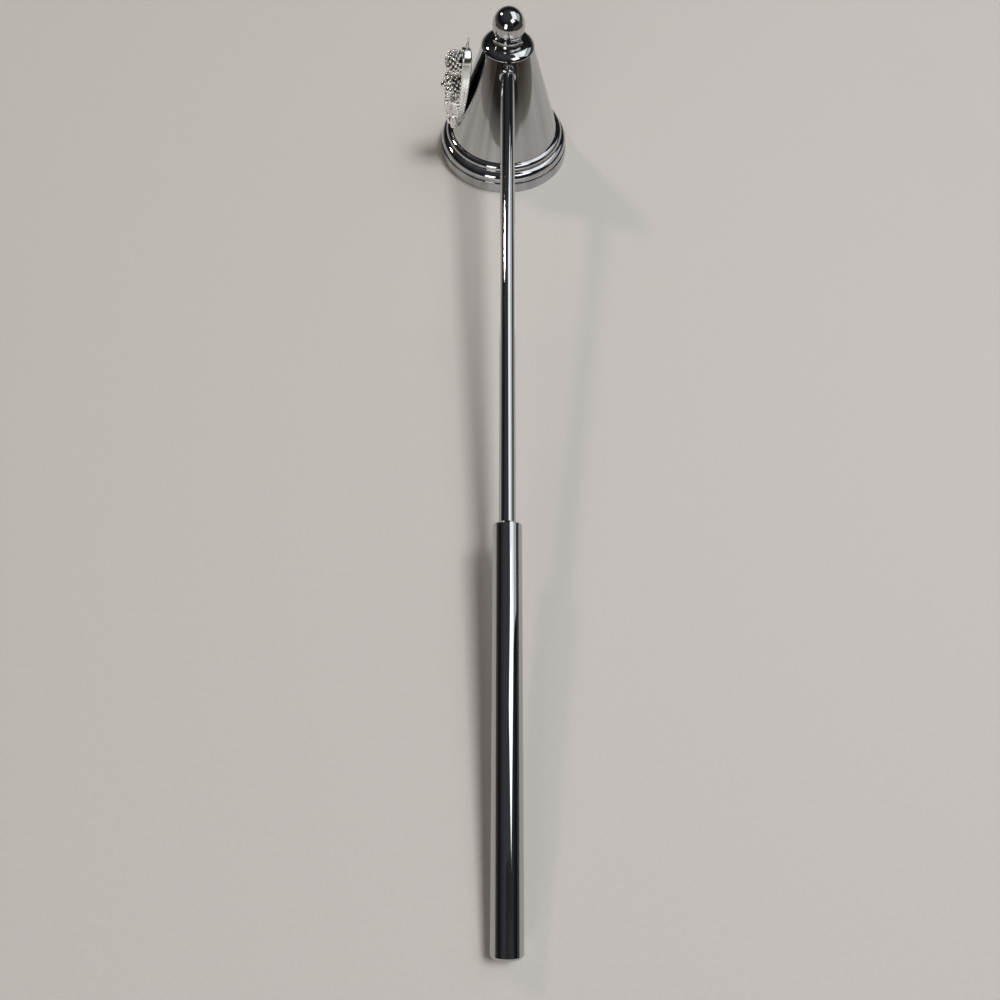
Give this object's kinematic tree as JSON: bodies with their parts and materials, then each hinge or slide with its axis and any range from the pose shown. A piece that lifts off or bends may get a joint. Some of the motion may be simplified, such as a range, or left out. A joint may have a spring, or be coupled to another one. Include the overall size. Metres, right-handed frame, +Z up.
{
  "type": "candle snuffer",
  "caption": "Long-handled candle snuffer: a polished conical bell with a beaded rim and ball finial, a slim rod, a tube handle and a cast floral ornament.",
  "frame": {"origin": "the middle of the bell's mouth, in the plane that the mouth stands on", "axes": "+Z up along the bell's axis, -Y along the handle away from the bell, -X towards the ornament"},
  "size_m": [0.044, 0.2684, 0.0485],
  "materials": {
    "bright_plate": "mirror polished",
    "cast_silver": "cast relief, bright with darker hollows",
    "plain_steel": "satin"
  },
  "bodies": {
    "root": {"bell_cone": "bright_plate", "rim_ring": "bright_plate", "shoulder_cap": "bright_plate", "finial_ball": "bright_plate", "rod": "bright_plate", "rod_collar": "bright_plate", "handle_tube": "bright_plate", "handle_front_bush": "bright_plate", "handle_end_plug": "bright_plate", "finial_stud": "plain_steel", "finial_washer": "plain_steel", "finial_nut": "plain_steel", "rod_saddle": "plain_steel", "ornament_plate": "cast_silver", "ornament_flower": "cast_silver", "ornament_berries": "cast_silver", "ornament_leaf_near": "cast_silver", "ornament_leaf_far": "cast_silver", "ornament_stems": "cast_silver", "ornament_border_grains": "cast_silver", "ornament_base_bead": "cast_silver", "ornament_sprig": "cast_silver"}
  },
  "joints": []
}
